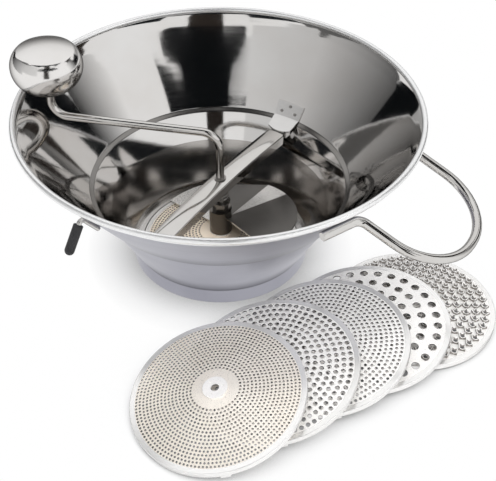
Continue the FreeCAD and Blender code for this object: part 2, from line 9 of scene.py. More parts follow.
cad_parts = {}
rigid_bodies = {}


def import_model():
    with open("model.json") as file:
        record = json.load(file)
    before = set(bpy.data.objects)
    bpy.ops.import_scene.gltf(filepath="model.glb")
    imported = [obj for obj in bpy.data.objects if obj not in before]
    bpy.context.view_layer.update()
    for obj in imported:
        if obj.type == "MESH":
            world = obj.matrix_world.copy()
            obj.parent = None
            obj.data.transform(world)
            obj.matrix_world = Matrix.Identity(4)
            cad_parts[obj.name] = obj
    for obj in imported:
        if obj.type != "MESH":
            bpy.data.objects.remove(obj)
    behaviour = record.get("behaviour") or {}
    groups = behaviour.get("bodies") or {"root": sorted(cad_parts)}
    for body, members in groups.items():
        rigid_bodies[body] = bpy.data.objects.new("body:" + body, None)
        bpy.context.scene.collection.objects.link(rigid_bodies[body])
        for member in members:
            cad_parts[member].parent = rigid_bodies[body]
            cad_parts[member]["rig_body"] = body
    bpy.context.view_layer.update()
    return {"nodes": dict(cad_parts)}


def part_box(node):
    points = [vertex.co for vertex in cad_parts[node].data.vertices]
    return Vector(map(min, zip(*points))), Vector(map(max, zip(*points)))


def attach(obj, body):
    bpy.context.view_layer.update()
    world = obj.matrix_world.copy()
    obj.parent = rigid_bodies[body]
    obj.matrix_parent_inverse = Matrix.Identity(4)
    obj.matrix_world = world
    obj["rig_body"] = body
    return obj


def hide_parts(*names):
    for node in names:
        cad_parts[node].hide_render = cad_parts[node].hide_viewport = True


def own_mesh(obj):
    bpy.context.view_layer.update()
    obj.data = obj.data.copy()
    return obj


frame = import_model()

# Looks of a hand-cranked food mill with its fan of loose discs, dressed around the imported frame.
# Sizes are in millimetres, as in the part's source, and become metres where a mesh is made.

MM = 0.001
UP = Vector((0, 0, 1))
TINY = 1e-6

# Bowl
SHEET = 1.0
BEAD_RADIUS = 2.4
BEAD_CENTRE = (152.6, 130.6)
BOWL_LINE = [(68.8, 0), (68.8, 12), (98, 64.5), (101.5, 66.5), (152.1, 130.6)]
BOWL_ROUNDS = [3.0, 1.4, 2.4]
LOWER_CONE, UPPER_CONE = 1, 3
HEM_INNER_RADIUS = 67.6
HEM_HEIGHT = 3.0
HEM_CLEAR = 0.5
BOWL_SEGMENTS = 288
BOWL_ROUND_STEPS = 8
BEAD_STEPS = 28
INNER_RUN = 1.8
OUTER_RUN = 12.0
WALL_SWELL = 0.6
LOWER_WALL_SWELL = 1.2
WALL_EASE = 8.0
RIM_BAND = 11.0
WALL_NEAR = 0.01
CHAMBER_TOP = 44.0
SHOULDER_LEVELS = (64.2, 66.6)

# Finishes of the bowl; the chamber and the shoulder are duller, darker copies of the steel, with painted
# shade
MIRROR_FACE, OUTER_FACE, BEAD_FACE, CHAMBER_FACE, SHOULDER_FACE = range(5)

# Heights and painted shades up the bowl's outside, dark just above its two creases, and the height of the
# whole scale
PAINTED_CREASE_SHADES = [(0, 1.0), (11.4, 1.0), (12.4, 0.42), (15.5, 0.66), (27, 1.0),
                 (63.5, 1.0), (65.2, 0.42), (68.5, 0.68), (82, 1.0)]
CREASE_SCALE = 140.0

# Discs
DISC_SHEET = 0.8
DISC_RADIUS = 62.5
DISC_SKIRT_BOTTOM = 2.0
DISC_RIM_TOP = 6.0
DISC_HUB_TOP = 13.0
DISC_RIM_FLAT = 58.5
DISC_EDGE_ROUND = 0.6
DISC_EDGE_STEPS = 5
HUB_FLAT_RADIUS = 14.0
HUB_HOLE_RADIUS = 3.0
HUB_WASHER_MIDDLE = 13.6
DISC_SEGMENTS = 168
LUG_COUNT = 3
LUG_SEGMENTS = 3
FAN_AZIMUTH = 35.0
HUB_LOOP, RIM_LOOP, FIRST_HOLE = range(3)

# Finishes of a disc. A cut edge takes the one that follows the finish of the face beside it, so the holes'
# cut edges take a near-black painted shade.
SHEET_FACE, HOLE_EDGE, RIM_FACE, TOOTH_FACE = range(4)

# Round holes in rings: radius, corners, pitch, margin to the flats and plain band beside the hub flat
FINE_PATTERN = (0.82, 8, 2.7, 1.2, 2.2)
MEDIUM_PATTERN = (1.7, 10, 4.85, 2.4, 0)
SMALL_PATTERN = (1.15, 8, 3.6, 2.0, 0)
COARSE_PATTERN = (3.1, 18, 10.5, 5.6, 0)

# Teeth of the grater, drawn up round square holes that stand on a corner
TOOTH_SIDE = 5.0
TOOTH_PITCH = 7.4
TOOTH_MARGIN = 4.0
TOOTH_TURN = 45.0
TOOTH_HEIGHT = 2.4
TOOTH_DIP = 1.2
TOOTH_TIP_SHARE = 0.94
TOOTH_CORNER_SHARE = 0.9

# Rods
ROD_BEND_STEPS = 14
ROD_RUN = 8.0

# Crank
ROD_RADIUS = 3.2
PILOT_RADIUS = 2.94
PILOT_BOTTOM = 11.55
PILOT_STEP = 0.2
SHAFT_BOTTOM = 16.55
ARM_HEIGHT = 109.0
ARM_REACH = 132.0
ARM_AZIMUTH = 169.5
CRANK_BEND = 14.0
PIN_TOP = 155.6

# Knob
KNOB_RADIUS = 27.5
KNOB_BOTTOM = 133.6
KNOB_BOTTOM_RADIUS = 11.0
KNOB_WAIST = 153.5
KNOB_SHOULDER = (22.0, 166.0)
KNOB_TOP = 170.0
KNOB_BORE_RADIUS = 8.0
KNOB_BORE_TOP = 155.95
KNOB_SEGMENTS = 128
KNOB_TOP_STEPS = 16
KNOB_SMOOTH_ANGLE = 50

# Press spring and blade
SPRING_RADIUS = 5.7
SPRING_WIRE = 0.8
SPRING_BOTTOM = 46.05
SPRING_TOP = 62.99
SPRING_TURNS = 5
SPRING_TURN_STEPS = 40
SPRING_SIDES = 12
SPRING_END_ROUND = 0.1
BLADE_SHEET = 1.4
BLADE_INNER_RADIUS = 9.03
BLADE_OUTER_RADIUS = 61.5
BLADE_TRAIL_AZIMUTH = 135.0
BLADE_TURNS = [0, 32.0, 84.0, 105.0, 192.0]
BLADE_INNER_BOTTOM = 16.55
BLADE_INNER_LIFTS = [0, 1.5, 4.0, 8.5, 15.0]
BLADE_OUTER_BOTTOM = 9.35
BLADE_OUTER_LIFT = 31.7
BLADE_STRAIGHT_PANEL = 1
BLADE_SMOOTH_ANGLE = 4

# Finishes of the blade: its cut edge, then dark and pale panels in turn, painted shade and painted reflection
# of how each panel faces the light, on a rougher and a smoother finish
EDGE_FACE, SHADED_PANEL_FACE, LIT_PANEL_FACE = range(3)
BLADE_PANEL_SHADES = [LIT_PANEL_FACE, SHADED_PANEL_FACE, LIT_PANEL_FACE, SHADED_PANEL_FACE]

# Handle and hooks
HANDLE_ROD = 3.5
HANDLE_AZIMUTH = -29.5
HANDLE_ROOT = 114.5
HANDLE_HALF_WIDTH = 45.8
HANDLE_REACH = 205.5
HANDLE_SLOPE = 22.0
HANDLE_END_STRAIGHT = 3.0
HANDLE_CORNER = HANDLE_HALF_WIDTH - HANDLE_END_STRAIGHT / 2
HANDLE_ROOT_BEND = 9.0
HANDLE_FOOT_ANGLE = 12.8
HOOK_AZIMUTHS = {"left": -127.5, "rear": 68.5}
HOOK_WIRE = 1.8
HOOK_TOP = 121.0
HOOK_FOOT = 102.0
HOOK_REACH = 161.6
HOOK_TIP = 101.5
HOOK_BEND = 3.2
HOOK_SLEEVE_RADIUS = 3.5
HOOK_SLEEVE_GAP = 0.6
HOOK_SLEEVE_EDGE = 0.3
HOOK_TIP_STEPS = 9
SEAT_GAP = 0.15

# Patterns of the finishes, in repeats to the metre. A spun scale is that round the axis and along the wall.
TONE_SCALE = (18, 18, 18)
GRAIN_SCALE = (1800, 1800, 1800)
WAVE_SCALE = (30, 30, 30)
SPUN_GRAIN_SCALE = (4, 2600)
SPUN_WAVE_SCALE = (9, 70)
SCUFF_SCALE = (140, 140, 40)
SLEEVE_GRAIN_SCALE = (2400, 2400, 2400)
SLEEVE_GRAIN = 0.1
PATTERN_SPAN = (0.3, 0.7)

# Camera, fitted to the circles of the bowl and the discs. Its place is in metres.
CAMERA_PLACE = Vector((0.022118, -0.716534, 0.605120))
CAMERA_PITCH = 40.003
CAMERA_ROLL = 0.4528
CAMERA_LENS = 83.18
CAMERA_SENSOR = 36.0

# Studio, in metres. A lamp has its place, size and power.
BOWL_MIDDLE = Vector((0, 0, 0.09))
LAMPS = {"key": ((0.8, -1.0, 1.5), 1.2, 24), "fill": ((-1.0, -0.8, 1.3), 1.4, 5)}
DAYLIGHT = (0.97, 0.98, 1)
DAYLIGHT_STRENGTH = 0.65
FLAG_DISTANCE = 6.0
FLAG_COLUMNS = 40
FLOOR_REACH = 3.0
FLOOR_DROP = 0.0002
# Painted shade on the floor: its colour and glow fall where ambient occlusion finds the object near
FLOOR_SHADE_REACH = 0.04
FLOOR_SHADE_SAMPLES = 16
FLOOR_SHADE_SPAN = (0.15, 0.75)
FLOOR_TONE = 0.86


# Shapes

def polar(radius, azimuth, height):
    angle = math.radians(azimuth)
    return Vector((radius * math.cos(angle), radius * math.sin(angle), height))


def rounded(points, rounds, steps):
    """Points along straight runs joined by tangent arcs."""
    points = [Vector(point) for point in points]
    line = [points[0]]
    for before, corner, after, radius in zip(points, points[1:], points[2:], rounds):
        if radius <= 0:
            line.append(corner)
            continue
        back = (before - corner).normalized()
        ahead = (after - corner).normalized()
        half_angle = back.angle(ahead) / 2
        bisector = (back + ahead).normalized()
        centre = corner + bisector * (radius / math.sin(half_angle))
        first = corner + back * (radius / math.tan(half_angle)) - centre
        last = corner + ahead * (radius / math.tan(half_angle)) - centre
        sweep = first.angle(last)
        for step in range(steps + 1):
            share = step / steps
            one = math.sin((1 - share) * sweep) / math.sin(sweep)
            other = math.sin(share * sweep) / math.sin(sweep)
            line.append(centre + first * one + last * other)
    line.append(points[-1])
    return line


def subdivided(line, longest):
    """The same line with extra points, so that no run is longer than a given length."""
    result = [line[0]]
    for start, end in zip(line, line[1:]):
        count = max(1, math.ceil((end - start).length / longest))
        for step in range(1, count + 1):
            result.append(start.lerp(end, step / count))
    return result


def offset_line(points, distance):
    """An open (r, z) line moved to its right, with mitred corners."""
    normals = []
    for (r0, z0), (r1, z1) in zip(points, points[1:]):
        length = math.hypot(r1 - r0, z1 - z0)
        normals.append(((z1 - z0) / length, -(r1 - r0) / length))
    moved = []
    for index, (r, z) in enumerate(points):
        before = normals[max(index - 1, 0)]
        after = normals[min(index, len(normals) - 1)]
        share = 1 + before[0] * after[0] + before[1] * after[1]
        moved.append((r + distance * (before[0] + after[0]) / share,
                      z + distance * (before[1] + after[1]) / share))
    return moved


def add_object(name, data):
    shape = bpy.data.objects.new(name, data)
    bpy.context.scene.collection.objects.link(shape)
    return shape


def make_object(name, vertices, faces, materials, indices=None, smooth_angle=35.0):
    """A mesh object from points in millimetres."""
    mesh = bpy.data.meshes.new(name)
    mesh.from_pydata([tuple(Vector(vertex) * MM) for vertex in vertices], [], faces)
    mesh.validate()
    for material in materials:
        mesh.materials.append(material)
    if indices is not None:
        mesh.polygons.foreach_set("material_index", indices)
    mesh.polygons.foreach_set("use_smooth", [True] * len(mesh.polygons))
    mesh.set_sharp_from_angle(angle=math.radians(smooth_angle))
    mesh.update()
    return add_object(name, mesh)


def lathe(profile, segments, closed=False):
    """Vertices and faces of an (r, z) profile spun about Z, with the profile index of each face."""
    vertices = []
    rings = []
    for r, z in profile:
        if r < TINY:
            rings.append([len(vertices)] * segments)
            vertices.append(Vector((0, 0, z)))
            continue
        rings.append(list(range(len(vertices), len(vertices) + segments)))
        for step in range(segments):
            vertices.append(polar(r, 360 * step / segments, z))
    faces = []
    runs = []
    last = len(profile) if closed else len(profile) - 1
    for run in range(last):
        low = rings[run]
        high = rings[(run + 1) % len(profile)]
        for step in range(segments):
            after = (step + 1) % segments
            corners = [low[step], low[after], high[after], high[step]]
            faces.append(list(dict.fromkeys(corners)))
            runs.append(run)
    return vertices, faces, runs


def swept(line, radii, sides=28, cap_round=0.5):
    """Vertices and faces of a round rod along a line, with softened ends."""
    way = (line[1] - line[0]).normalized()
    side = way.orthogonal().normalized()
    stations = []
    for index, point in enumerate(line):
        ahead = line[min(index + 1, len(line) - 1)] - point
        behind = point - line[max(index - 1, 0)]
        tangent = ahead.normalized() + behind.normalized()
        if tangent.length < TINY:
            tangent = way
        tangent.normalize()
        side = (side - tangent * side.dot(tangent)).normalized()
        stations.append((point, tangent, side, radii[index]))
    point, tangent, side, radius = stations[0]
    stations.insert(0, (point, tangent, side, radius - cap_round))
    stations[1] = (point + tangent * cap_round, tangent, side, radius)
    point, tangent, side, radius = stations[-1]
    stations[-1] = (point - tangent * cap_round, tangent, side, radius)
    stations.append((point, tangent, side, radius - cap_round))
    vertices = []
    for point, tangent, side, radius in stations:
        other = tangent.cross(side)
        for step in range(sides):
            angle = 2 * math.pi * step / sides
            vertices.append(point + (side * math.cos(angle) + other * math.sin(angle)) * radius)
    faces = []
    for ring in range(len(stations) - 1):
        for step in range(sides):
            after = (step + 1) % sides
            faces.append([ring * sides + step, ring * sides + after,
                          (ring + 1) * sides + after, (ring + 1) * sides + step])
    faces.append(list(range(sides))[::-1])
    faces.append([len(vertices) - sides + step for step in range(sides)])
    return vertices, faces


def turned(vertices, azimuth):
    turn = Matrix.Rotation(math.radians(azimuth), 3, "Z")
    return [turn @ vertex for vertex in vertices]


def stand_in(shape, node):
    """A piece that shows in place of a CAD node and moves with that node's body."""
    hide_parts(node)
    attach(shape, frame["nodes"][node]["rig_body"])


# Materials

def new_material(name, colour, metallic, roughness):
    material = bpy.data.materials.new(name)
    material.use_nodes = True
    shader = material.node_tree.nodes["Principled BSDF"]
    shader.inputs["Base Color"].default_value = (*colour, 1)
    shader.inputs["Metallic"].default_value = metallic
    shader.inputs["Roughness"].default_value = roughness
    return material, material.node_tree, shader


def add_node(tree, kind, **settings):
    node = tree.nodes.new(kind)
    for name, value in settings.items():
        setattr(node, name, value)
    return node


def compute(tree, operation, *values):
    """The result of a math node for one or two sockets."""
    node = add_node(tree, "ShaderNodeMath", operation=operation)
    for value, socket in zip(values, node.inputs):
        tree.links.new(value, socket)
    return node.outputs[0]


def object_place(tree, scale):
    """Object coordinates, stretched by a scale for each axis."""
    place = add_node(tree, "ShaderNodeTexCoord")
    mapping = add_node(tree, "ShaderNodeMapping")
    mapping.inputs["Scale"].default_value = scale
    tree.links.new(place.outputs["Object"], mapping.inputs["Vector"])
    return mapping.outputs["Vector"]


def spun_place(tree, around, along):
    """Coordinates of a spun surface: little change round the axis, much along the radius and height."""
    place = add_node(tree, "ShaderNodeTexCoord")
    split = add_node(tree, "ShaderNodeSeparateXYZ")
    tree.links.new(place.outputs["Object"], split.inputs["Vector"])
    x, y, z = split.outputs
    squares = [compute(tree, "MULTIPLY", side, side) for side in (x, y)]
    radius = compute(tree, "SQRT", compute(tree, "ADD", *squares))
    reach = compute(tree, "ADD", radius, z)
    join = add_node(tree, "ShaderNodeCombineXYZ")
    for value, socket in zip((x, y, reach), join.inputs):
        tree.links.new(value, socket)
    mapping = add_node(tree, "ShaderNodeMapping")
    mapping.inputs["Scale"].default_value = (around, around, along)
    tree.links.new(join.outputs[0], mapping.inputs["Vector"])
    return mapping.outputs["Vector"]


def noise(tree, place, detail=3.0, roughness=0.55):
    texture = add_node(tree, "ShaderNodeTexNoise")
    texture.inputs["Scale"].default_value = 1.0
    texture.inputs["Detail"].default_value = detail
    texture.inputs["Roughness"].default_value = roughness
    tree.links.new(place, texture.inputs["Vector"])
    return texture.outputs["Fac"]


def ramp(tree, value, low, high, output):
    """The middle span of a pattern mapped between two colours or two numbers."""
    if isinstance(low, tuple):
        node = add_node(tree, "ShaderNodeValToRGB")
        for stop, position, colour in zip(node.color_ramp.elements, PATTERN_SPAN, (low, high)):
            stop.position = position
            stop.color = (*colour, 1)
        tree.links.new(value, node.inputs["Fac"])
        tree.links.new(node.outputs["Color"], output)
        return
    node = add_node(tree, "ShaderNodeMapRange")
    node.inputs["From Min"].default_value = PATTERN_SPAN[0]
    node.inputs["From Max"].default_value = PATTERN_SPAN[1]
    node.inputs["To Min"].default_value = low
    node.inputs["To Max"].default_value = high
    tree.links.new(value, node.inputs["Value"])
    tree.links.new(node.outputs["Result"], output)


def bump(tree, shader, heights):
    """Bumps from several patterns, each with its own height in metres, one on top of the other."""
    normal = None
    for height, distance in heights:
        node = add_node(tree, "ShaderNodeBump")
        node.inputs["Strength"].default_value = 1.0
        node.inputs["Distance"].default_value = distance
        tree.links.new(height, node.inputs["Height"])
        if normal is not None:
            tree.links.new(normal, node.inputs["Normal"])
        normal = node.outputs["Normal"]
    tree.links.new(normal, shader.inputs["Normal"])


def steel(name, tones, roughness, grain, wave, spun=False, metallic=1.0, edge=1.0):
    """Bare steel with a slight change of tone, fine grain and a faint waviness.

    grain and wave are heights in millimetres. A spun surface has its grain round the axis.
    edge is the metal's reflectance near grazing.
    """
    material, tree, shader = new_material(name, tones[1], metallic, roughness[0])
    shader.inputs["Specular Tint"].default_value = (edge, edge, edge, 1)
    tone = noise(tree, object_place(tree, TONE_SCALE))
    ramp(tree, tone, *tones, shader.inputs["Base Color"])
    if spun:
        fine = noise(tree, spun_place(tree, *SPUN_GRAIN_SCALE), detail=2.0)
        broad = noise(tree, spun_place(tree, *SPUN_WAVE_SCALE), detail=1.0)
    else:
        fine = noise(tree, object_place(tree, GRAIN_SCALE), detail=2.0)
        broad = noise(tree, object_place(tree, WAVE_SCALE), detail=1.0)
    ramp(tree, fine, *roughness, shader.inputs["Roughness"])
    bump(tree, shader, [(broad, wave * MM), (fine, grain * MM)])
    return material


def paint_shade_above_creases(material):
    """Darkens a colour just above the outside's two creases with painted shade."""
    tree = material.node_tree
    colour = tree.nodes["Principled BSDF"].inputs["Base Color"]
    plain = colour.links[0].from_socket
    place = add_node(tree, "ShaderNodeTexCoord")
    split = add_node(tree, "ShaderNodeSeparateXYZ")
    tree.links.new(place.outputs["Object"], split.inputs["Vector"])
    share = add_node(tree, "ShaderNodeMath", operation="DIVIDE")
    share.inputs[1].default_value = CREASE_SCALE * MM
    tree.links.new(split.outputs["Z"], share.inputs[0])
    shade = add_node(tree, "ShaderNodeValToRGB")
    stops = shade.color_ramp.elements
    for number, (height, tone) in enumerate(PAINTED_CREASE_SHADES):
        stop = stops[number] if number < len(stops) else stops.new(height / CREASE_SCALE)
        stop.position = height / CREASE_SCALE
        stop.color = (tone, tone, tone, 1)
    tree.links.new(share.outputs["Value"], shade.inputs["Fac"])
    mix = add_node(tree, "ShaderNodeMix", data_type="RGBA", blend_type="MULTIPLY")
    mix.inputs["Factor"].default_value = 1.0
    tree.links.new(plain, mix.inputs["A"])
    tree.links.new(shade.outputs["Color"], mix.inputs["B"])
    tree.links.new(mix.outputs["Result"], colour)


def make_rubber():
    """Soft black sleeve, matt with a fine moulded grain and paler scuffs."""
    material, tree, shader = new_material("black_sleeve", (0.012, 0.012, 0.013), 0.0, 0.55)
    scuff = noise(tree, object_place(tree, SCUFF_SCALE), detail=5.0)
    ramp(tree, scuff, (0.008, 0.008, 0.009), (0.024, 0.024, 0.026), shader.inputs["Base Color"])
    grain = noise(tree, object_place(tree, SLEEVE_GRAIN_SCALE), detail=1.0)
    ramp(tree, grain, 0.45, 0.65, shader.inputs["Roughness"])
    bump(tree, shader, [(grain, SLEEVE_GRAIN * MM)])
    return material


# Steels: dark and light tone, least and most roughness, heights of grain and wave
mirror_steel = steel("mirror_steel", ((0.66, 0.64, 0.62), (0.71, 0.70, 0.69)), (0.04, 0.09), 0.0015, 0.03,
                     spun=True)
outer_steel = steel("outer_steel", ((0.32, 0.32, 0.37), (0.38, 0.38, 0.43)), (0.30, 0.40), 0.008, 0.03,
                    spun=True)
# The outside's colour carries painted shade just above its two creases.
paint_shade_above_creases(outer_steel)
# Lower chamber: a duller steel, darkened with painted shade
chamber_dull_and_painted_shade = steel("chamber_dull_and_painted_shade", ((0.38, 0.36, 0.34), (0.46, 0.44, 0.42)), (0.11, 0.16), 0.0008, 0.02,
                      spun=True)
# Shoulder between the cones: a duller steel, darkened with painted shade in the crease
shoulder_dull_and_painted_shade = steel("shoulder_dull_and_painted_shade", ((0.20, 0.19, 0.18), (0.26, 0.25, 0.24)), (0.12, 0.20), 0.002, 0.01,
                       spun=True)
rim_steel = steel("rim_steel", ((0.82, 0.82, 0.82), (0.88, 0.88, 0.88)), (0.22, 0.30), 0.002, 0.01,
                  spun=True, metallic=0.8)
polished_steel = steel("polished_steel", ((0.62, 0.60, 0.58), (0.69, 0.68, 0.66)), (0.06, 0.12), 0.0005, 0.01,
                       edge=0.25)
satin_steel = steel("satin_steel", ((0.60, 0.59, 0.58), (0.70, 0.69, 0.68)), (0.16, 0.26), 0.003, 0.02)
# Dark panels of the blade: a rougher finish with painted shade
blade_dark_panel_painted_shade = steel("blade_dark_panel_painted_shade", ((0.20, 0.19, 0.18), (0.24, 0.23, 0.22)), (0.36, 0.44), 0.002, 0.01)
knob_steel = steel("knob_steel", ((0.77, 0.75, 0.73), (0.84, 0.83, 0.82)), (0.12, 0.18), 0.0005, 0.01,
                   edge=0.15)
dark_steel = steel("dark_steel", ((0.26, 0.25, 0.24), (0.40, 0.38, 0.36)), (0.22, 0.36), 0.003, 0.02)
disc_steel = steel("disc_steel", ((0.92, 0.90, 0.87), (0.97, 0.95, 0.93)), (0.26, 0.34), 0.003, 0.02,
                   metallic=0.28)
# Darker walls of the grater's teeth and the skirt's lower cut edge: painted shade
tooth_wall_painted_shade = steel("tooth_wall_painted_shade", ((0.26, 0.24, 0.22), (0.36, 0.34, 0.32)), (0.24, 0.32), 0.003, 0.02,
                    metallic=0.7)
disc_rim_steel = steel("disc_rim_steel", ((0.88, 0.87, 0.85), (0.94, 0.93, 0.92)), (0.14, 0.20), 0.0008, 0.01,
                       metallic=0.6, edge=0.1)
# Blade sleeve: near-black polished steel, a painted dark reflection
sleeve_painted_dark_reflection = steel("sleeve_painted_dark_reflection", ((0.11, 0.10, 0.09), (0.16, 0.15, 0.14)), (0.06, 0.12), 0.0005, 0.01)
# Pale panels of the blade: painted reflection
blade_pale_panel_painted_reflection = steel("blade_pale_panel_painted_reflection", ((0.80, 0.78, 0.75), (0.87, 0.85, 0.83)), (0.24, 0.32), 0.002, 0.01,
                     metallic=0.5)
# The fitted disc: brighter, warmer and more matt than the loose fine disc, painted light against the shade
# inside the bowl
fitted_disc_painted_light = steel("fitted_disc_painted_light", ((0.94, 0.80, 0.64), (0.98, 0.87, 0.73)), (0.28, 0.36),
                          0.003, 0.02, metallic=0.1)
fine_disc_steel = steel("fine_disc_steel", ((0.92, 0.84, 0.74), (0.97, 0.91, 0.83)), (0.26, 0.34),
                        0.003, 0.02, metallic=0.42)
# Near-black cut edges of the holes: painted shade inside the holes
hole_edge_painted_shade = steel("hole_edge_painted_shade", ((0.015, 0.012, 0.01), (0.03, 0.026, 0.022)), (0.40, 0.55), 0.003, 0.02)
black_sleeve = make_rubber()


# Bowl

def swollen(point):
    """A point of the inner wall moved in a little: both cones swell, with a flared band below the rim."""
    for cone in (LOWER_CONE, UPPER_CONE):
        foot = Vector(BOWL_LINE[cone])
        top = Vector(BOWL_LINE[cone + 1])
        length = (top - foot).length
        way = (top - foot) / length
        along = (point - foot).dot(way)
        off = abs((point - foot).cross(way))
        if not 0 < along < length or off > WALL_NEAR:
            continue
        if cone == LOWER_CONE:
            swell = 4 * LOWER_WALL_SWELL * along * (length - along) / length ** 2
        elif along > length - RIM_BAND:
            swell = WALL_SWELL * (length - along) / RIM_BAND
        else:
            swell = WALL_SWELL * math.sin(math.pi / 2 * min(along / (length - RIM_BAND - WALL_EASE), 1.0))
        return point + Vector((-way.y, way.x)) * swell
    return point


def inner_finish(height):
    """Finish of the inside: the chamber duller and darker with painted shade, the mirror wall, and the plain
    shoulder between the two cones painted dark as shade in the crease.
    """
    if height < CHAMBER_TOP:
        return CHAMBER_FACE
    if SHOULDER_LEVELS[0] < height < SHOULDER_LEVELS[1]:
        return SHOULDER_FACE
    return MIRROR_FACE


def bowl_profile():
    """The closed (r, z) outline of the spun sheet, and the finish of each of its runs."""
    outer_line = offset_line(BOWL_LINE, SHEET)
    outer_rounds = [BOWL_ROUNDS[0] - SHEET, BOWL_ROUNDS[1] + SHEET, BOWL_ROUNDS[2] - SHEET]
    wall = subdivided(rounded(BOWL_LINE, BOWL_ROUNDS, BOWL_ROUND_STEPS), INNER_RUN)
    outside = subdivided(rounded(outer_line, outer_rounds, BOWL_ROUND_STEPS), OUTER_RUN)[::-1]
    inside = [Vector((HEM_INNER_RADIUS, 0)), Vector((HEM_INNER_RADIUS, HEM_HEIGHT)),
              Vector((BOWL_LINE[0][0], HEM_HEIGHT))]
    inside += [swollen(point) for point in wall if point.y > HEM_HEIGHT + HEM_CLEAR]
    centre = Vector(BEAD_CENTRE)
    inside = [point for point in inside if (point - centre).length > BEAD_RADIUS]
    outside = [point for point in outside if (point - centre).length > BEAD_RADIUS]
    start = inside[-1] - centre
    end = outside[0] - centre
    start_angle = math.atan2(start.y, start.x) % (2 * math.pi)
    end_angle = math.atan2(end.y, end.x) % (2 * math.pi)
    sweep = (start_angle - end_angle) % (2 * math.pi)
    bead = []
    for step in range(BEAD_STEPS + 1):
        angle = start_angle - sweep * step / BEAD_STEPS
        bead.append(centre + Vector((math.cos(angle), math.sin(angle))) * BEAD_RADIUS)
    profile = inside + bead + outside
    finishes = [inner_finish(point.y) for point in inside]
    finishes += [BEAD_FACE] * len(bead) + [OUTER_FACE] * len(outside)
    return profile, finishes


def make_bowl():
    profile, finishes = bowl_profile()
    vertices, faces, runs = lathe([(p.x, p.y) for p in profile], BOWL_SEGMENTS, closed=True)
    indices = [finishes[run] for run in runs]
    shape = make_object("bowl_shell", vertices, faces,
                        [mirror_steel, outer_steel, rim_steel, chamber_dull_and_painted_shade, shoulder_dull_and_painted_shade], indices)
    stand_in(shape, "bowl")


# Discs

def disc_height(radius):
    """Height of a disc's upper face at a radius, between the hub flat and the rim flat."""
    share = (DISC_RIM_FLAT - radius) / (DISC_RIM_FLAT - HUB_FLAT_RADIUS)
    return DISC_RIM_TOP + (DISC_HUB_TOP - DISC_RIM_TOP) * min(max(share, 0.0), 1.0)


def ring_places(pitch, margin, plain=0):
    """Radius and azimuth of each hole of a pattern of rings that leaves a plain band round the hub."""
    first = HUB_FLAT_RADIUS + plain + margin
    last = DISC_RIM_FLAT - margin
    rings = round((last - first) / pitch)
    places = []
    for ring in range(rings + 1):
        radius = first + (last - first) * ring / rings
        count = int(2 * math.pi * radius / pitch)
        for index in range(count):
            places.append((radius, (index + 0.5 * (ring % 2)) * 360 / count))
    return places


def round_holes(size, corners, pitch, margin, plain):
    """Outlines in plan of a pattern of round holes."""
    holes = []
    for radius, azimuth in ring_places(pitch, margin, plain):
        centre = polar(radius, azimuth, 0)
        holes.append([centre + polar(size, azimuth + 360 * corner / corners, 0) for corner in range(corners)])
    return holes


def square_holes(side, pitch, margin):
    """Outlines of square holes set on a corner, with a point at each corner and each side's middle."""
    half = side / 2
    steps = ((1, 0), (1, 1), (0, 1), (-1, 1), (-1, 0), (-1, -1), (0, -1), (1, -1))
    holes = []
    for radius, azimuth in ring_places(pitch, margin):
        centre = polar(radius, azimuth, 0)
        turn = Matrix.Rotation(math.radians(azimuth + TOOTH_TURN), 3, "Z")
        holes.append([centre + turn @ Vector((x * half, y * half, 0)) for x, y in steps])
    return holes


def ring_circle(radius):
    step = 360 / DISC_SEGMENTS
    return [polar(radius, (index + 0.5) * step, 0) for index in range(DISC_SEGMENTS)]


def pierced_sheet(holes):
    """Plan points, triangles and each point's loop, around the holes between the hub and rim flats."""
    loops = [ring_circle(HUB_FLAT_RADIUS), ring_circle(DISC_RIM_FLAT)] + holes
    points = []
    edges = []
    owner = []
    for number, loop in enumerate(loops):
        start = len(points)
        points += [point.to_2d() for point in loop]
        owner += [number] * len(loop)
        edges += [(start + index, start + (index + 1) % len(loop)) for index in range(len(loop))]
    placed, _, triangles, origins, _, _ = delaunay_2d_cdt(points, edges, [], 0, TINY)
    owners = [owner[origin[0]] if origin else -1 for origin in origins]
    kept = []
    for triangle in triangles:
        names = {owners[corner] for corner in triangle}
        if len(names) > 1 or RIM_LOOP in names:
            kept.append(list(triangle))
    return placed, kept, owners


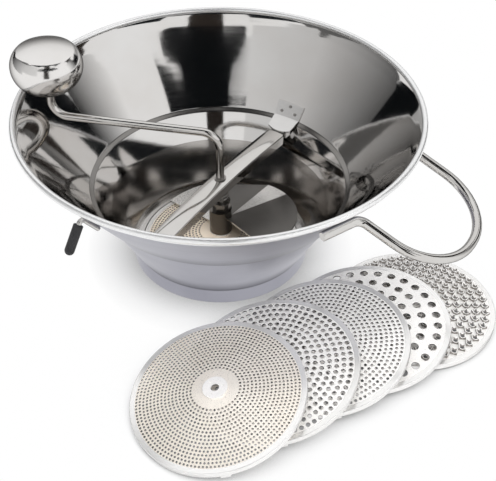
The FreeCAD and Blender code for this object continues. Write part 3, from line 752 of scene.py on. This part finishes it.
def disc_mesh(holes, toothed):
    """Upper face of a disc as an open sheet: hub flat, pierced cone, rim, rounded edge, skirt and lugs.

    The third list has the finish of each face.
    """
    plan, faces, owners = pierced_sheet(holes)
    vertices = [Vector((p.x, p.y, disc_height(p.length))) for p in plan]
    by_loop = {}
    for index, number in enumerate(owners):
        by_loop.setdefault(number, []).append(index)

    def angle_of(index):
        return math.atan2(vertices[index].y, vertices[index].x) % (2 * math.pi)

    hub_edge = sorted(by_loop[HUB_LOOP], key=angle_of)
    rim_edge = sorted(by_loop[RIM_LOOP], key=angle_of)
    azimuths = [math.degrees(math.atan2(vertices[i].y, vertices[i].x)) for i in rim_edge]

    def add_ring(before, radius, height, outward):
        start = len(vertices)
        vertices.extend(polar(radius, azimuth, height) for azimuth in azimuths)
        ring = list(range(start, start + len(azimuths)))
        for step in range(len(ring)):
            after = (step + 1) % len(ring)
            corners = [before[step], ring[step], ring[after], before[after]]
            faces.append(corners if outward else corners[::-1])
        return ring

    add_ring(hub_edge, HUB_HOLE_RADIUS, DISC_HUB_TOP, False)
    edge = [(DISC_RADIUS - DISC_EDGE_ROUND, DISC_RIM_TOP)]
    for step in range(1, DISC_EDGE_STEPS + 1):
        angle = math.radians(90 - 90 * step / DISC_EDGE_STEPS)
        edge.append((DISC_RADIUS - DISC_EDGE_ROUND + DISC_EDGE_ROUND * math.cos(angle),
                     DISC_RIM_TOP - DISC_EDGE_ROUND + DISC_EDGE_ROUND * math.sin(angle)))
    edge.append((DISC_RADIUS, DISC_SKIRT_BOTTOM))
    finishes = [SHEET_FACE] * len(faces)
    ring = rim_edge
    for radius, height in edge:
        ring = add_ring(ring, radius, height, True)
    for lug in range(LUG_COUNT):
        add_lug(vertices, faces, ring, azimuths, lug * 360 / LUG_COUNT)
    finishes += [RIM_FACE] * (len(faces) - len(finishes))
    if toothed:
        for loop in range(FIRST_HOLE, FIRST_HOLE + len(holes)):
            raise_tooth(vertices, faces, in_order_about(vertices, by_loop[loop]))
    finishes += [TOOTH_FACE] * (len(faces) - len(finishes))
    return vertices, faces, finishes


def in_order_about(vertices, indices):
    """Indices of one hole's edge, anticlockwise about its middle."""
    middle = sum((vertices[index] for index in indices), Vector()) / len(indices)
    return sorted(indices, key=lambda i: math.atan2(vertices[i].y - middle.y, vertices[i].x - middle.x))


def add_lug(vertices, faces, ring, azimuths, azimuth):
    """Draws a short stretch of the skirt's lower edge down into a lug."""
    step = 360 / DISC_SEGMENTS
    reach = LUG_SEGMENTS * step / 2 + step / 4
    inside = [i for i in range(len(ring)) if abs((azimuths[i] - azimuth + 180) % 360 - 180) < reach]
    inside.sort(key=lambda i: (azimuths[i] - azimuth + 180) % 360)
    below = {}
    for i in inside:
        below[i] = len(vertices)
        vertices.append(Vector((vertices[ring[i]].x, vertices[ring[i]].y, 0.0)))
    for one, other in zip(inside, inside[1:]):
        faces.append([ring[one], below[one], below[other], ring[other]])


def raise_tooth(vertices, faces, loop):
    """Draws a square hole's edge up into an open tooth whose corners stand higher than its sides."""
    middle = sum((vertices[index] for index in loop), Vector()) / len(loop)
    corner_reach = TOOTH_CORNER_SHARE * max((vertices[index] - middle).to_2d().length for index in loop)
    tips = []
    for index in loop:
        out = vertices[index] - middle
        rise = TOOTH_HEIGHT if out.to_2d().length > corner_reach else TOOTH_HEIGHT - TOOTH_DIP
        tips.append(len(vertices))
        vertices.append(Vector((middle.x + out.x * TOOTH_TIP_SHARE, middle.y + out.y * TOOTH_TIP_SHARE,
                                vertices[index].z + rise)))
    for one in range(len(loop)):
        other = (one + 1) % len(loop)
        faces.append([loop[one], loop[other], tips[other], tips[one]])


def disc_frame(hub, azimuth):
    """Where a disc lies, read from the CAD washer on its hub, with its first lug towards an azimuth."""
    points = np.array([vertex.co for vertex in frame["nodes"][hub].data.vertices])
    low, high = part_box(hub)
    axis = Vector(np.linalg.svd(points - points.mean(axis=0))[2][2])
    if axis.z < 0:
        axis.negate()
    along = polar(1, azimuth, 0)
    along = (along - axis * along.dot(axis)).normalized()
    across = axis.cross(along)
    place = Matrix((along, across, axis)).transposed().to_4x4()
    place.translation = (low + high) / 2 - axis * HUB_WASHER_MIDDLE * MM
    return place


def mark_open_edges(mesh):
    """Keeps the shading apart on the two sides of each cut edge."""
    uses = {}
    for polygon in mesh.polygons:
        for key in polygon.edge_keys:
            uses[key] = uses.get(key, 0) + 1
    for edge in mesh.edges:
        if uses[edge.key] == 1:
            edge.use_edge_sharp = True


def make_disc(node, holes, toothed, material, azimuth):
    vertices, faces, finishes = disc_mesh(holes, toothed)
    shape = make_object(node + "_sheet", vertices, faces,
                        [material, hole_edge_painted_shade, disc_rim_steel, tooth_wall_painted_shade, disc_steel], finishes)
    mark_open_edges(shape.data)
    thick = shape.modifiers.new("sheet", "SOLIDIFY")
    thick.thickness = DISC_SHEET * MM
    thick.offset = -1
    thick.material_offset_rim = HOLE_EDGE - SHEET_FACE
    shape.data.transform(disc_frame(node + "_hub", azimuth))
    stand_in(shape, node)


FINE_HOLES = round_holes(*FINE_PATTERN)
DISCS = {
    "fitted_disc": (FINE_HOLES, False, fitted_disc_painted_light, 0),
    "fine_disc": (FINE_HOLES, False, fine_disc_steel, FAN_AZIMUTH),
    "medium_disc": (round_holes(*MEDIUM_PATTERN), False, disc_steel, FAN_AZIMUTH),
    "small_hole_disc": (round_holes(*SMALL_PATTERN), False, disc_steel, FAN_AZIMUTH),
    "coarse_disc": (round_holes(*COARSE_PATTERN), False, disc_steel, FAN_AZIMUTH),
    "grater_disc": (square_holes(TOOTH_SIDE, TOOTH_PITCH, TOOTH_MARGIN), True, disc_steel, FAN_AZIMUTH),
}


# Rods

def rod_line(points, bends):
    return subdivided(rounded(points, bends, ROD_BEND_STEPS), ROD_RUN)


def rod(name, node, points, bends, radius, azimuth):
    """A bent rod on the bowl's outside, drawn at azimuth 0 and turned to its place."""
    line = rod_line(points, bends)
    vertices, faces = swept(line, [radius] * len(line))
    shape = make_object(name, turned(vertices, azimuth), faces, [polished_steel])
    stand_in(shape, node)


def outside_cone(height, clear):
    """Radius at a height of a point that lies a distance clear of the cone's outer face."""
    low, high = BOWL_LINE[UPPER_CONE:UPPER_CONE + 2]
    slope = (high[0] - low[0]) / (high[1] - low[1])
    return low[0] + (height - low[1]) * slope + (SHEET + clear) * math.hypot(1, slope)


def make_crank_rod():
    knob_place = polar(ARM_REACH, ARM_AZIMUTH, 0)
    corners = [Vector((0, 0, SHAFT_BOTTOM)), Vector((0, 0, ARM_HEIGHT)),
               knob_place + UP * ARM_HEIGHT, knob_place + UP * PIN_TOP]
    line = rod_line(corners, [CRANK_BEND, CRANK_BEND])
    pilot = [Vector((0, 0, PILOT_BOTTOM)), Vector((0, 0, SHAFT_BOTTOM - PILOT_STEP))]
    radii = [PILOT_RADIUS] * len(pilot) + [ROD_RADIUS] * len(line)
    vertices, faces = swept(pilot + line, radii)
    shape = make_object("crank_bar", vertices, faces, [polished_steel])
    stand_in(shape, "crank_rod")


def make_handle():
    radius = outside_cone(HANDLE_ROOT, HANDLE_ROD + SEAT_GAP)
    root_angle = math.degrees(math.asin(HANDLE_HALF_WIDTH / radius))
    foot_radius = radius / math.cos(math.radians(HANDLE_FOOT_ANGLE / 2))
    root = polar(foot_radius, root_angle, HANDLE_ROOT)
    end = polar(foot_radius, root_angle + HANDLE_FOOT_ANGLE, HANDLE_ROOT)
    fall = (HANDLE_REACH - root.x) * math.tan(math.radians(HANDLE_SLOPE))
    corner = Vector((HANDLE_REACH, HANDLE_HALF_WIDTH, HANDLE_ROOT - fall))
    half = [end, root, corner]
    other = [Vector((point.x, -point.y, point.z)) for point in reversed(half)]
    bends = [HANDLE_ROOT_BEND, HANDLE_CORNER, HANDLE_CORNER, HANDLE_ROOT_BEND]
    rod("handle_bar", "loop_handle", half + other, bends, HANDLE_ROD, HANDLE_AZIMUTH)


def make_hook(side, azimuth):
    clear = HOOK_WIRE + SEAT_GAP
    foot = Vector((outside_cone(HOOK_FOOT, clear), 0, HOOK_FOOT))
    corner = Vector((outside_cone(HOOK_TOP, clear), 0, HOOK_TOP))
    end = Vector((HOOK_REACH, 0, HOOK_TIP))
    rod(side + "_hook_bar", side + "_hook_wire", [foot, corner, end], [HOOK_BEND], HOOK_WIRE, azimuth)
    way = (end - corner).normalized()
    half_angle = way.angle(foot - corner) / 2
    start = corner + way * (HOOK_BEND / math.tan(half_angle) + HOOK_SLEEVE_GAP)
    line = [start, start.lerp(end, 0.5), end]
    radii = [HOOK_SLEEVE_RADIUS] * len(line)
    for step in range(1, HOOK_TIP_STEPS):
        angle = math.radians(90 * step / HOOK_TIP_STEPS)
        line.append(end + way * HOOK_SLEEVE_RADIUS * math.sin(angle))
        radii.append(HOOK_SLEEVE_RADIUS * math.cos(angle))
    vertices, faces = swept(line, radii, cap_round=HOOK_SLEEVE_EDGE)
    shape = make_object(side + "_hook_cover", turned(vertices, azimuth), faces, [black_sleeve])
    stand_in(shape, side + "_hook_sleeve")


# Knob, spring and blade

def waist_arc(end_radius, end_level, steps=24):
    """(r, z) points of an arc from the knob's waist, where it is upright, to another point."""
    drop = end_level - KNOB_WAIST
    centre = (KNOB_RADIUS ** 2 - end_radius ** 2 - drop ** 2) / (2 * (KNOB_RADIUS - end_radius))
    size = KNOB_RADIUS - centre
    sweep = math.atan2(drop, end_radius - centre)
    points = []
    for step in range(steps + 1):
        angle = sweep * step / steps
        points.append((centre + size * math.cos(angle), KNOB_WAIST + size * math.sin(angle)))
    return points


def make_knob():
    lower = waist_arc(KNOB_BOTTOM_RADIUS, KNOB_BOTTOM)[::-1]
    upper = waist_arc(*KNOB_SHOULDER)
    rise = KNOB_TOP - KNOB_SHOULDER[1]
    crown = (KNOB_SHOULDER[0] ** 2 + rise ** 2) / (2 * rise)
    top = []
    for step in range(1, KNOB_TOP_STEPS + 1):
        radius = KNOB_SHOULDER[0] * (1 - step / KNOB_TOP_STEPS)
        top.append((radius, KNOB_TOP - crown + math.sqrt(crown ** 2 - radius ** 2)))
    bore = [(0, KNOB_BORE_TOP), (KNOB_BORE_RADIUS, KNOB_BORE_TOP), (KNOB_BORE_RADIUS, KNOB_BOTTOM)]
    vertices, faces, _ = lathe(bore + lower + upper[1:] + top, KNOB_SEGMENTS)
    place = polar(ARM_REACH, ARM_AZIMUTH, 0)
    shape = make_object("knob_ball", [vertex + place for vertex in vertices], faces, [knob_steel],
                        smooth_angle=KNOB_SMOOTH_ANGLE)
    stand_in(shape, "knob")


def make_spring():
    low = SPRING_BOTTOM + SPRING_WIRE
    high = SPRING_TOP - SPRING_WIRE
    steps = SPRING_TURN_STEPS * SPRING_TURNS
    line = []
    for step in range(steps + 1):
        share = step / steps
        line.append(polar(SPRING_RADIUS, 360 * SPRING_TURNS * share, low + (high - low) * share))
    vertices, faces = swept(line, [SPRING_WIRE] * len(line), SPRING_SIDES, SPRING_END_ROUND)
    shape = make_object("press_coil", vertices, faces, [dark_steel])
    stand_in(shape, "press_spring")
    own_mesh(shape)


def blade_panel(index, along=40, across=16):
    """Rows of points over a ruled panel of the blade, between two of its folds."""
    first, last = BLADE_TURNS[index:index + 2]
    span = BLADE_TURNS[-1]
    ends = []
    for turn in (first, last):
        ends.append(polar(BLADE_OUTER_RADIUS, BLADE_TRAIL_AZIMUTH - turn,
                          BLADE_OUTER_BOTTOM + BLADE_OUTER_LIFT * turn / span))
    low, high = BLADE_INNER_LIFTS[index:index + 2]
    rows = []
    for step in range(along + 1):
        share = step / along
        turn = first + (last - first) * share
        inner = polar(BLADE_INNER_RADIUS, BLADE_TRAIL_AZIMUTH - turn,
                      BLADE_INNER_BOTTOM + low + (high - low) * share)
        outer = ends[0].lerp(ends[1], share)
        if index != BLADE_STRAIGHT_PANEL:
            outer = polar(BLADE_OUTER_RADIUS, BLADE_TRAIL_AZIMUTH - turn, outer.z)
        rows.append([inner.lerp(outer, place / across) for place in range(across + 1)])
    return rows


def make_blade():
    """Ruled panels that meet at radial folds, low at the trailing edge and raised at the leading edge."""
    rows = [blade_panel(0)[0]]
    for index in range(len(BLADE_TURNS) - 1):
        rows += blade_panel(index)[1:]
    row = len(rows[0])
    along = len(rows) - 1
    across = row - 1
    lower = [point for points in rows for point in points]
    vertices = [point + UP * BLADE_SHEET for point in lower] + lower
    sheet_size = len(lower)
    panel_steps = along // (len(BLADE_TURNS) - 1)
    faces = []
    finishes = []
    for step in range(along):
        for place in range(across):
            corner = step * row + place
            quad = [corner, corner + row, corner + row + 1, corner + 1]
            faces.append(quad)
            faces.append([index + sheet_size for index in reversed(quad)])
            finishes += [BLADE_PANEL_SHADES[step // panel_steps]] * 2
    border = list(range(row))
    border += [step * row + across for step in range(1, along + 1)]
    border += [along * row + place for place in reversed(range(across))]
    border += [step * row for step in reversed(range(1, along))]
    for one, other in zip(border, border[1:] + border[:1]):
        faces.append([one, other, other + sheet_size, one + sheet_size])
        finishes.append(EDGE_FACE)
    shape = make_object("blade_plate", vertices, faces, [polished_steel, blade_dark_panel_painted_shade, blade_pale_panel_painted_reflection],
                        finishes, smooth_angle=BLADE_SMOOTH_ANGLE)
    stand_in(shape, "press_blade")


make_bowl()
for node, settings in DISCS.items():
    make_disc(node, *settings)
make_crank_rod()
make_handle()
for side, azimuth in HOOK_AZIMUTHS.items():
    make_hook(side, azimuth)
make_knob()
make_spring()
make_blade()

# Finish of the CAD nodes that show as they are
CAD_FINISHES = [
    (satin_steel, ["seat_ring", "rear_bracket", "front_bracket"]),
    (polished_steel, ["crossbar", "knob_bush", "knob_washer", "knob_retainer"]),
    (sleeve_painted_dark_reflection, ["blade_sleeve"]),
    (dark_steel, ["crossbar_bush", "shaft_nut", "spring_washer",
                  "rear_bracket_rivets", "front_bracket_rivets"]),
    (disc_steel, [node + "_hub" for node in DISCS]),
]
for material, nodes in CAD_FINISHES:
    for node in nodes:
        slots = frame["nodes"][node].data.materials
        slots.clear()
        slots.append(material)


# Studio

def blank_material(name):
    material = bpy.data.materials.new(name)
    material.use_nodes = True
    material.node_tree.nodes.clear()
    return material, material.node_tree


def flag(name, tint, rows):
    """A card that only reflections see, far out round the bowl.

    Each row has an elevation, the azimuths of the two sides and the brightness at those sides.
    """
    vertices = []
    tones = []
    for elevation, first, last, first_tone, last_tone in rows:
        level = math.radians(elevation)
        for step in range(FLAG_COLUMNS + 1):
            share = step / FLAG_COLUMNS
            way = polar(math.cos(level), first + (last - first) * share, math.sin(level))
            vertices.append(BOWL_MIDDLE + way * FLAG_DISTANCE)
            tones.append(first_tone + (last_tone - first_tone) * share)
    faces = []
    for row in range(len(rows) - 1):
        for step in range(FLAG_COLUMNS):
            corner = row * (FLAG_COLUMNS + 1) + step
            above = corner + FLAG_COLUMNS + 1
            faces.append([corner, corner + 1, above + 1, above])
    mesh = bpy.data.meshes.new(name)
    mesh.from_pydata(vertices, [], faces)
    mesh.attributes.new("tone", "FLOAT", "POINT").data.foreach_set("value", tones)
    material, tree = blank_material(name)
    tone = add_node(tree, "ShaderNodeAttribute", attribute_name="tone")
    glow = add_node(tree, "ShaderNodeEmission")
    glow.inputs["Color"].default_value = (*tint, 1)
    output = add_node(tree, "ShaderNodeOutputMaterial")
    tree.links.new(tone.outputs["Fac"], glow.inputs["Strength"])
    tree.links.new(glow.outputs[0], output.inputs["Surface"])
    mesh.materials.append(material)
    shape = add_object(name, mesh)
    shape.visible_camera = False
    shape.visible_diffuse = False
    shape.visible_shadow = False
    shape.visible_transmission = False


def mix_shaders(tree, share, first, second, output):
    """Two shaders mixed by a share, at the output."""
    mix = add_node(tree, "ShaderNodeMixShader")
    tree.links.new(share, mix.inputs["Fac"])
    tree.links.new(first.outputs[0], mix.inputs[1])
    tree.links.new(second.outputs[0], mix.inputs[2])
    tree.links.new(mix.outputs[0], output.inputs["Surface"])


def make_world():
    """White for the camera, for reflections and through glass, and a softer daylight for everything else."""
    world = bpy.data.worlds.new("studio")
    bpy.context.scene.world = world
    world.use_nodes = True
    tree = world.node_tree
    tree.nodes.clear()
    seen = add_node(tree, "ShaderNodeBackground")
    seen.inputs["Color"].default_value = (1, 1, 1, 1)
    light = add_node(tree, "ShaderNodeBackground")
    light.inputs["Color"].default_value = (*DAYLIGHT, 1)
    light.inputs["Strength"].default_value = DAYLIGHT_STRENGTH
    rays = add_node(tree, "ShaderNodeLightPath").outputs
    share = compute(tree, "MAXIMUM", rays["Is Camera Ray"], rays["Is Glossy Ray"])
    share = compute(tree, "MAXIMUM", share, rays["Is Transmission Ray"])
    mix_shaders(tree, share, light, seen, add_node(tree, "ShaderNodeOutputWorld"))


def make_floor():
    """A pale floor that reads as white in the open, with shade painted under and beside the object: its
    colour and its glow for the camera fall with ambient occlusion.
    """
    reach = FLOOR_REACH
    mesh = bpy.data.meshes.new("floor")
    mesh.from_pydata([(-reach, -reach, 0), (reach, -reach, 0), (reach, reach, 0), (-reach, reach, 0)],
                     [], [(0, 1, 2, 3)])
    material, tree = blank_material("floor")
    matt = add_node(tree, "ShaderNodeBsdfDiffuse")
    glow = add_node(tree, "ShaderNodeEmission")
    openness = add_node(tree, "ShaderNodeAmbientOcclusion", samples=FLOOR_SHADE_SAMPLES)
    openness.inputs["Distance"].default_value = FLOOR_SHADE_REACH
    painted_floor_shade = add_node(tree, "ShaderNodeMapRange")
    painted_floor_shade.inputs["From Min"].default_value = FLOOR_SHADE_SPAN[0]
    painted_floor_shade.inputs["From Max"].default_value = FLOOR_SHADE_SPAN[1]
    painted_floor_shade.inputs["To Max"].default_value = FLOOR_TONE
    tree.links.new(openness.outputs["AO"], painted_floor_shade.inputs["Value"])
    tree.links.new(painted_floor_shade.outputs["Result"], matt.inputs["Color"])
    rays = add_node(tree, "ShaderNodeLightPath").outputs
    glow_share_with_painted_shade = compute(tree, "MULTIPLY", rays["Is Camera Ray"], openness.outputs["AO"])
    mirrored = compute(tree, "MAXIMUM", rays["Is Glossy Ray"], rays["Is Transmission Ray"])
    share = compute(tree, "MAXIMUM", glow_share_with_painted_shade, mirrored)
    mix_shaders(tree, share, matt, glow, add_node(tree, "ShaderNodeOutputMaterial"))
    mesh.materials.append(material)
    shape = add_object("floor", mesh)
    shape.location.z = -FLOOR_DROP


def soft_light(name, place, size, power):
    """A square lamp turned to the bowl, which reflections don't see."""
    light = bpy.data.lights.new(name, "AREA")
    light.size = size
    light.energy = power
    lamp = add_object(name, light)
    lamp.location = place
    lamp.visible_glossy = False
    lamp.rotation_euler = (BOWL_MIDDLE - Vector(place)).to_track_quat("-Z", "Y").to_euler()


def make_camera():
    lens = bpy.data.cameras.new("camera")
    lens.lens = CAMERA_LENS
    lens.sensor_width = CAMERA_SENSOR
    lens.sensor_fit = "HORIZONTAL"
    camera = add_object("camera", lens)
    tilt = Matrix.Rotation(math.radians(90 - CAMERA_PITCH), 4, "X")
    roll = Matrix.Rotation(math.radians(CAMERA_ROLL), 4, "Z")
    camera.matrix_world = Matrix.Translation(CAMERA_PLACE) @ (tilt @ roll)
    bpy.context.scene.camera = camera


def even(tone, *spans):
    """Rows of one brightness. A span has an elevation and the azimuths of the two sides."""
    return [(*span, tone, tone) for span in spans]


def band(low, high, sides, tones):
    """Two rows with the same sides and brightness, at two elevations."""
    return [(elevation, *sides, *tones) for elevation in (low, high)]


# Cards round the bowl, each with a tint and rows. The camera's side is dark and narrows half way up.
# The ceiling, the high corners and the two low corners behind are dark. The left side and low back are grey.
NAVY = (0.75, 0.88, 1.0)
BROWN = (1.0, 0.82, 0.70)
WHITE = (1.0, 1.0, 1.0)
FLAGS = {
    "camera_side": (NAVY, even(0.006, (36, -42, -113), (38.5, -42, -113), (40.6, -40, -113),
                               (41.4, -39, -113), (41.65, -45, -107.5), (42.0, -53, -101),
                               (42.8, -59, -96.4), (43.0, -46, -96.6), (44.6, -46, -99.5),
                               (45.3, -48, -103), (46.6, -50, -109), (48.5, -54, -107))),
    "camera_side_top": (BROWN, band(48.5, 62, (-66, -92), (0.03, 0.03))),
    "camera_side_slit": (BROWN, band(-8, 36, (-76, -92), (0.02, 0.02))),
    "ceiling": (NAVY, even(0.015, (62, 10, -190), (74, 10, -190), (88, 10, -190))),
    "waist_shade": (WHITE, [(42.0, -101, -113, 0.5, 0.78), (42.8, -96.4, -113, 0.5, 0.78),
                            (43.0, -96.6, -113, 0.45, 0.78), (44.6, -99.5, -113, 0.38, 0.78),
                            (45.3, -103, -113, 0.38, 0.78), (46.6, -109, -113, 0.5, 0.78)]),
    "left_side": (WHITE, band(10, 50, (-113, -160), (0.78, 0.66))),
    "left_back": (WHITE, band(-8, 43, (-160, -214), (0.66, 0.10))),
    "left_high": (WHITE, band(43, 57, (-152, -214), (0.14, 0.14))),
    "left_front_high": (NAVY, band(54.5, 63, (-112, -152), (0.02, 0.02))),
    "right_high": (NAVY, band(53, 64, (-10, -45), (0.02, 0.02))),
    "low_left_back": (NAVY, band(-8, 20, (148, 126), (0.006, 0.006))),
    "low_right_back": (NAVY, band(-8, 20, (50, 24), (0.006, 0.006))),
    "back_low": (WHITE, even(0.35, (-8, 126, 50)) + even(0.45, (8, 126, 50)) + even(0.95, (26, 126, 50))),
    "right_back_high": (BROWN, band(33, 46, (40, 5), (0.03, 0.03))),
    "right_back": (WHITE, band(-8, 33, (24, -8), (0.02, 1.0))),
}

make_world()
make_floor()
make_camera()
for name, settings in LAMPS.items():
    soft_light(name, *settings)
for name, settings in FLAGS.items():
    flag(name, *settings)
bpy.context.scene.view_settings.view_transform = "Standard"
